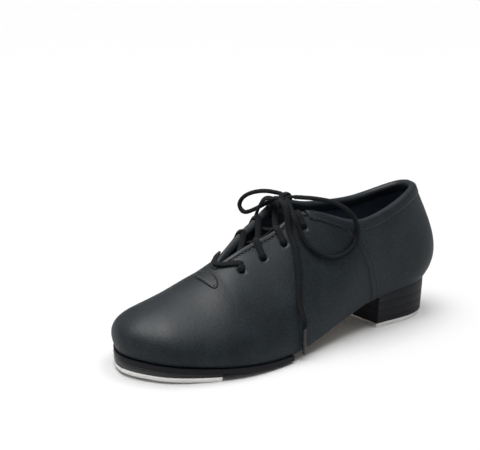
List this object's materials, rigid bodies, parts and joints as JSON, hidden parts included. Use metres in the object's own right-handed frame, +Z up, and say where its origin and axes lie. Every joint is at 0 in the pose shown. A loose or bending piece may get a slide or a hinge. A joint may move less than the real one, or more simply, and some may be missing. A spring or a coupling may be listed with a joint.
{
  "type": "tap shoe",
  "caption": "Lace-up jazz tap shoe for the left foot with split sole, stacked heel, screwed toe and heel taps and a tied lace.",
  "frame": {"origin": "middle of the shoe's footprint on the floor, with the heel tap and toe tap resting on it", "axes": "+X from heel to toe, +Y to the wearer's left, the outer side of this left shoe, +Z up"},
  "size_m": [0.2592, 0.0924, 0.1015],
  "materials": {
    "upper_leather": "semi-matt full-grain leather, dark charcoal",
    "lining_cloth": "soft brushed lining",
    "fibre_board": "pressed leather fibre board",
    "sole_leather": "stacked leather, edges stained black",
    "tap_metal": "satin, brushed",
    "screw_steel": "satin",
    "lace_braid": "flat-oval woven braid",
    "aglet_plastic": "gloss"
  },
  "bodies": {
    "forepart": {"vamp_toe": "upper_leather", "vamp_flex": "upper_leather", "throat_bar": "upper_leather", "toe_puff": "fibre_board", "lining_toe": "lining_cloth", "lining_flex": "lining_cloth", "outsole_toe": "sole_leather", "insole_toe": "fibre_board", "sock_toe": "lining_cloth", "sounding_board": "fibre_board", "toe_tap": "tap_metal", "toe_tap_screw_1": "screw_steel", "toe_tap_screw_2": "screw_steel", "toe_tap_screw_3": "screw_steel"},
    "rear": {"quarter_outer": "upper_leather", "quarter_inner": "upper_leather", "heel_quarter": "upper_leather", "heel_counter": "fibre_board", "facing_stay_outer": "fibre_board", "facing_stay_inner": "fibre_board", "lining_outer": "lining_cloth", "lining_inner": "lining_cloth", "heel_lining": "lining_cloth", "outsole_ball": "sole_leather", "insole_rear": "fibre_board", "sock_rear": "lining_cloth", "heel_tap": "tap_metal", "heel_top_piece": "sole_leather", "heel_lift_1": "sole_leather", "heel_lift_2": "sole_leather", "heel_seat_lift": "sole_leather", "heel_screw": "screw_steel", "heel_tap_screw_1": "screw_steel", "heel_tap_screw_2": "screw_steel", "heel_tap_screw_3": "screw_steel", "topline_binding": "upper_leather", "lacing": "lace_braid", "lace_knot": "lace_braid", "lace_loop_outer": "lace_braid", "lace_loop_inner": "lace_braid", "lace_end_outer": "lace_braid", "lace_end_inner": "lace_braid", "aglet_outer": "aglet_plastic", "aglet_inner": "aglet_plastic"},
    "tongue": {"tongue": "upper_leather", "tongue_lining": "lining_cloth"}
  },
  "joints": [
    {"name": "ball_flex", "type": "hinge", "parent": "forepart", "child": "rear", "pos_m": [0.0619, 0, 0.01109], "axis": [0, 1, 0], "range_deg": [0, 30], "stiffness_Nm_per_rad": 3, "deforming": ["vamp_flex", "lining_flex", "throat_bar"]},
    {"name": "tongue_hinge", "type": "hinge", "parent": "rear", "child": "tongue", "pos_m": [0.06561, -0.00404, 0.04388], "axis": [0, 1, 0], "range_deg": [-12, 0], "stiffness_Nm_per_rad": 0.5}
  ]
}
